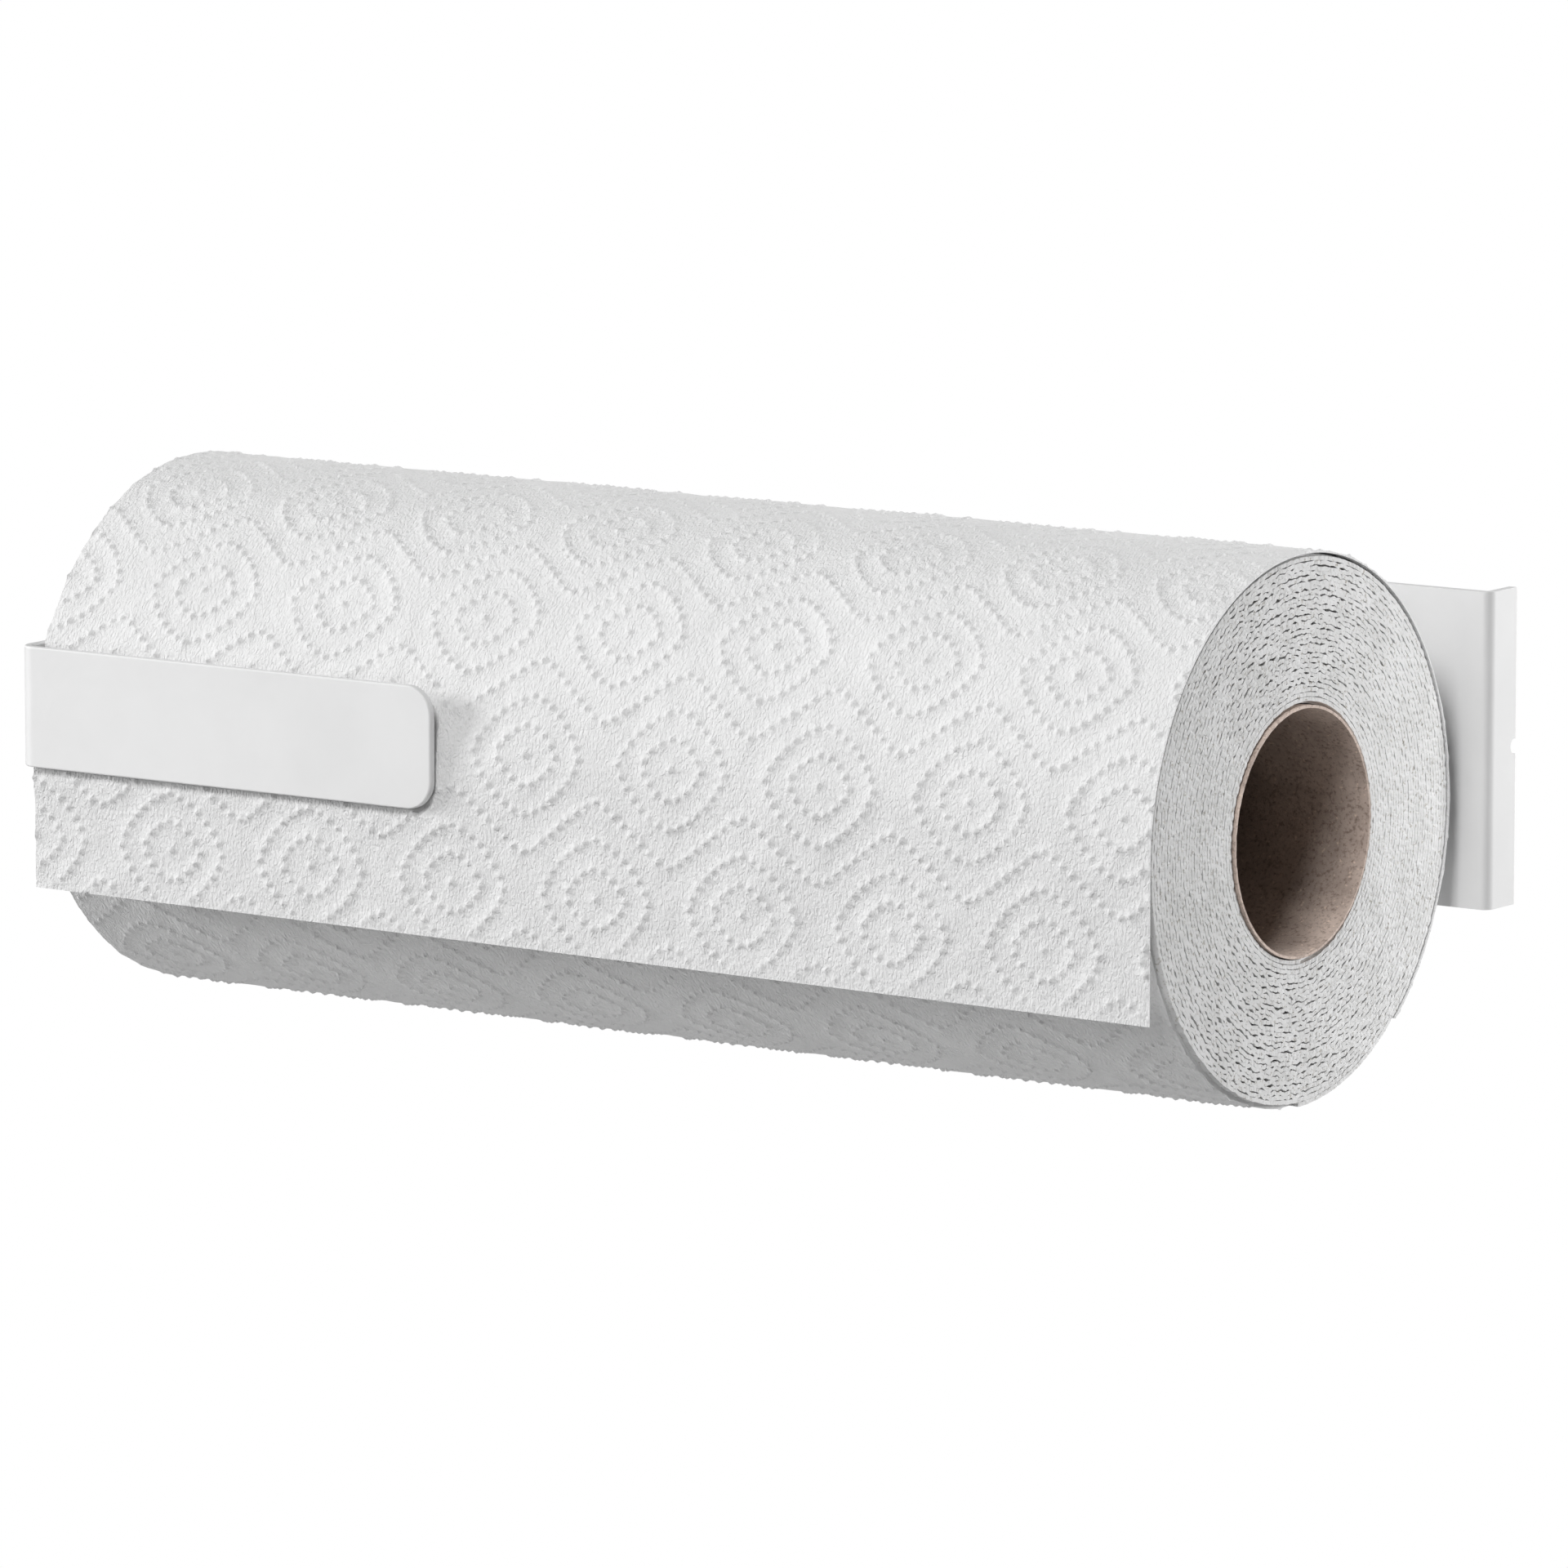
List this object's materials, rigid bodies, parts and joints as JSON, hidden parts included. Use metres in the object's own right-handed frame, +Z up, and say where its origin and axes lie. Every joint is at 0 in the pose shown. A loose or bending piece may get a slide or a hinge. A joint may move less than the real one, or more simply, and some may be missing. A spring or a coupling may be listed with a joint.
{
  "type": "paper towel holder",
  "caption": "Wall-held paper towel holder: folded back channel on magnets, bent arm with a front bar, stub spindle, and a roll that spins and slides off.",
  "frame": {"origin": "middle of the holder's width and height on the wall plane, at the centre of the middle magnet's back face", "axes": "+Y into the wall, -Y towards the user, +X along the spindle to its free end, +Z up"},
  "size_m": [0.24, 0.1079, 0.0923],
  "materials": {
    "powder_coated_steel": "satin white powder coat with a fine, even texture",
    "white_plastic": "moulded satin",
    "zinc_steel": "zinc plated, satin",
    "black_rubber": "moulded matt",
    "magnet_steel": "nickel-coated, dull",
    "core_board": "spiral-wound grey-brown board",
    "towel_paper": "creped and embossed tissue"
  },
  "bodies": {
    "holder": {"arm_nut_inner": "zinc_steel", "arm_nut_outer": "zinc_steel", "arm_screw_inner": "zinc_steel", "arm_screw_outer": "zinc_steel", "arm_strip": "powder_coated_steel", "back_channel": "powder_coated_steel", "magnet_disc_left": "magnet_steel", "magnet_disc_middle": "magnet_steel", "magnet_disc_right": "magnet_steel", "magnet_jacket_left": "black_rubber", "magnet_jacket_middle": "black_rubber", "magnet_jacket_right": "black_rubber", "magnet_screw_left": "zinc_steel", "magnet_screw_middle": "zinc_steel", "magnet_screw_right": "zinc_steel", "spindle_cap": "white_plastic", "spindle_plug": "zinc_steel", "spindle_screw": "zinc_steel", "spindle_tube": "powder_coated_steel"},
    "carrier": {"loose_sheet": "towel_paper"},
    "roll": {"core_tube": "core_board", "paper_roll": "towel_paper"}
  },
  "joints": [
    {"name": "roll_take_off", "type": "slide", "parent": "holder", "child": "carrier", "axis": [1, 0, 0], "range_m": [0, 0.24]},
    {"name": "roll_spin", "type": "hinge", "parent": "carrier", "child": "roll", "pos_m": [0, -0.0594, -0.0074], "axis": [1, 0, 0], "continuous": true}
  ]
}
